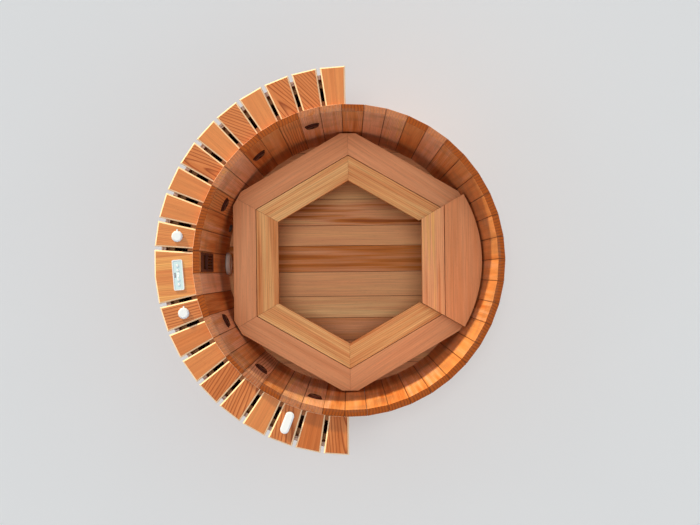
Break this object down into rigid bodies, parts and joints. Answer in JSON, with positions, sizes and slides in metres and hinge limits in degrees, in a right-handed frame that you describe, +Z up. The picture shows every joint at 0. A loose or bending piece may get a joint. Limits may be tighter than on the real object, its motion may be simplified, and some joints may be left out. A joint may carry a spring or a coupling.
{
  "type": "wooden hot tub",
  "caption": "Round staved wooden hot tub with a hexagonal inner bench, a raised seat, wall jets and a half-ring slatted shelf with controls over a boarded skirt.",
  "frame": {"origin": "on the tub's axis at the underside of the joists, where the tub rests on the ground", "axes": "+Z up; -X towards the skimmer and the middle of the control shelf; +Y towards one end of the shelf, with +X to its right seen from above"},
  "size_m": [2.1029, 2.2966, 1.238],
  "materials": {
    "cedar_stave": "planed, oiled",
    "cedar_floor": "planed",
    "cedar_frame": "planed",
    "cedar_seat": "planed, eased edges",
    "cedar_seat_light": "planed, eased edges",
    "cedar_slat": "planed, eased edges",
    "cedar_skirt": "planed, oiled",
    "hoop_steel": "rolled stainless band",
    "bolt_steel": "machined",
    "jet_plastic": "moulded",
    "nozzle_plastic": "moulded",
    "nut_plastic": "moulded",
    "pipe_pvc": "extruded pipe",
    "valve_plastic": "moulded",
    "white_plastic": "moulded",
    "skimmer_plastic": "moulded",
    "weir_plastic": "moulded",
    "filter_cloth": "pleated",
    "grey_plastic": "moulded",
    "cover_plastic": "moulded",
    "return_plastic": "moulded",
    "face_blue": "printed film",
    "display_plastic": "tinted window",
    "lens_plastic": "moulded lens"
  },
  "bodies": {
    "tub": {"floor_joists": "cedar_frame", "floor_boards": "cedar_floor", "plain_staves": "cedar_stave", "bored_staves": "cedar_stave", "skimmer_stave": "cedar_stave", "hoops": "hoop_steel", "hoop_bolts": "bolt_steel", "bench_bearers": "cedar_frame", "bench_legs": "cedar_frame", "bench_battens": "cedar_frame", "bench_inner_boards": "cedar_seat_light", "bench_outer_boards": "cedar_seat", "raised_seat_boards": "cedar_seat", "shelf_slats": "cedar_slat", "valve_slats": "cedar_slat", "control_slat": "cedar_slat", "inner_ledger": "cedar_frame", "skirt_rails": "cedar_frame", "skirt_posts": "cedar_frame", "skirt_boards": "cedar_skirt", "end_panels": "cedar_skirt", "wood_screws": "bolt_steel", "jet_bodies": "jet_plastic", "jet_nuts": "nut_plastic", "water_manifold": "pipe_pvc", "air_manifolds": "pipe_pvc", "air_valve_bodies": "valve_plastic", "diverter_body": "valve_plastic", "skimmer_body": "nut_plastic", "skimmer_face": "skimmer_plastic", "filter_cartridge": "filter_cloth", "suction_fitting": "grey_plastic", "suction_cover": "cover_plastic", "return_fitting": "return_plastic", "suction_line": "pipe_pvc", "return_pipe": "pipe_pvc", "control_housing": "white_plastic", "control_face": "face_blue", "control_display": "display_plastic", "control_lens": "lens_plastic"},
    "jet_face_1": {"jet_face_1": "jet_plastic"},
    "jet_face_2": {"jet_face_2": "jet_plastic"},
    "jet_face_3": {"jet_face_3": "jet_plastic"},
    "jet_face_4": {"jet_face_4": "jet_plastic"},
    "jet_face_5": {"jet_face_5": "jet_plastic"},
    "jet_face_6": {"jet_face_6": "jet_plastic"},
    "jet_nozzle_1": {"jet_nozzle_1": "nozzle_plastic"},
    "jet_nozzle_2": {"jet_nozzle_2": "nozzle_plastic"},
    "jet_nozzle_3": {"jet_nozzle_3": "nozzle_plastic"},
    "jet_nozzle_4": {"jet_nozzle_4": "nozzle_plastic"},
    "jet_nozzle_5": {"jet_nozzle_5": "nozzle_plastic"},
    "jet_nozzle_6": {"jet_nozzle_6": "nozzle_plastic"},
    "air_knob_a": {"air_knob_a": "white_plastic"},
    "air_knob_b": {"air_knob_b": "white_plastic"},
    "diverter_handle": {"diverter_handle": "white_plastic"},
    "weir_flap": {"weir_flap": "weir_plastic"},
    "button_1": {"button_1": "white_plastic"},
    "button_2": {"button_2": "white_plastic"},
    "button_3": {"button_3": "white_plastic"},
    "button_4": {"button_4": "white_plastic"}
  },
  "joints": [
    {"name": "jet_1_turn", "type": "hinge", "parent": "tub", "child": "jet_face_1", "pos_m": [-0.22091, 0.845, 0.953], "axis": [-0.2529, 0.9675, 0], "range_deg": [-60, 60]},
    {"name": "jet_2_turn", "type": "hinge", "parent": "tub", "child": "jet_face_2", "pos_m": [-0.55869, 0.67134, 0.908], "axis": [-0.6397, 0.7686, 0], "range_deg": [-60, 60]},
    {"name": "jet_3_turn", "type": "hinge", "parent": "tub", "child": "jet_face_3", "pos_m": [-0.79082, 0.37072, 0.828], "axis": [-0.9054, 0.4245, 0], "range_deg": [-60, 60]},
    {"name": "jet_4_turn", "type": "hinge", "parent": "tub", "child": "jet_face_4", "pos_m": [-0.79082, -0.37072, 0.828], "axis": [-0.9054, -0.4245, 0], "range_deg": [-60, 60]},
    {"name": "jet_5_turn", "type": "hinge", "parent": "tub", "child": "jet_face_5", "pos_m": [-0.55869, -0.67134, 0.908], "axis": [-0.6397, -0.7686, 0], "range_deg": [-60, 60]},
    {"name": "jet_6_turn", "type": "hinge", "parent": "tub", "child": "jet_face_6", "pos_m": [-0.22091, -0.845, 0.953], "axis": [-0.2529, -0.9675, 0], "range_deg": [-60, 60]},
    {"name": "jet_1_tilt", "type": "hinge", "parent": "jet_face_1", "child": "jet_nozzle_1", "pos_m": [-0.22066, 0.84403, 0.953], "axis": [-0.9675, -0.2529, 0], "range_deg": [-15, 15]},
    {"name": "jet_2_tilt", "type": "hinge", "parent": "jet_face_2", "child": "jet_nozzle_2", "pos_m": [-0.55805, 0.67057, 0.908], "axis": [-0.7686, -0.6397, 0], "range_deg": [-15, 15]},
    {"name": "jet_3_tilt", "type": "hinge", "parent": "jet_face_3", "child": "jet_nozzle_3", "pos_m": [-0.78991, 0.3703, 0.828], "axis": [-0.4245, -0.9054, 0], "range_deg": [-15, 15]},
    {"name": "jet_4_tilt", "type": "hinge", "parent": "jet_face_4", "child": "jet_nozzle_4", "pos_m": [-0.78991, -0.3703, 0.828], "axis": [0.4245, -0.9054, 0], "range_deg": [-15, 15]},
    {"name": "jet_5_tilt", "type": "hinge", "parent": "jet_face_5", "child": "jet_nozzle_5", "pos_m": [-0.55805, -0.67057, 0.908], "axis": [0.7686, -0.6397, 0], "range_deg": [-15, 15]},
    {"name": "jet_6_tilt", "type": "hinge", "parent": "jet_face_6", "child": "jet_nozzle_6", "pos_m": [-0.22066, -0.84403, 0.953], "axis": [0.9675, -0.2529, 0], "range_deg": [-15, 15]},
    {"name": "air_knob_a_turn", "type": "hinge", "parent": "tub", "child": "air_knob_a", "pos_m": [-1.00846, 0.152, 1.208], "axis": [0, 0, 1], "range_deg": [0, 90]},
    {"name": "air_knob_b_turn", "type": "hinge", "parent": "tub", "child": "air_knob_b", "pos_m": [-0.97454, -0.30061, 1.208], "axis": [0, 0, 1], "range_deg": [0, 90]},
    {"name": "diverter_turn", "type": "hinge", "parent": "tub", "child": "diverter_handle", "pos_m": [-0.37259, -0.94935, 1.208], "axis": [0, 0, 1], "range_deg": [-90, 90]},
    {"name": "weir_tip", "type": "hinge", "parent": "tub", "child": "weir_flap", "pos_m": [-0.8814, 0, 1.0785], "axis": [0, -1, 0], "range_deg": [0, 85]},
    {"name": "button_1_press", "type": "slide", "parent": "tub", "child": "button_1", "axis": [0, 0, -1], "range_m": [0, 0.001], "stiffness_N_per_m": 400},
    {"name": "button_2_press", "type": "slide", "parent": "tub", "child": "button_2", "axis": [0, 0, -1], "range_m": [0, 0.001], "stiffness_N_per_m": 400},
    {"name": "button_3_press", "type": "slide", "parent": "tub", "child": "button_3", "axis": [0, 0, -1], "range_m": [0, 0.001], "stiffness_N_per_m": 400},
    {"name": "button_4_press", "type": "slide", "parent": "tub", "child": "button_4", "axis": [0, 0, -1], "range_m": [0, 0.001], "stiffness_N_per_m": 400}
  ]
}
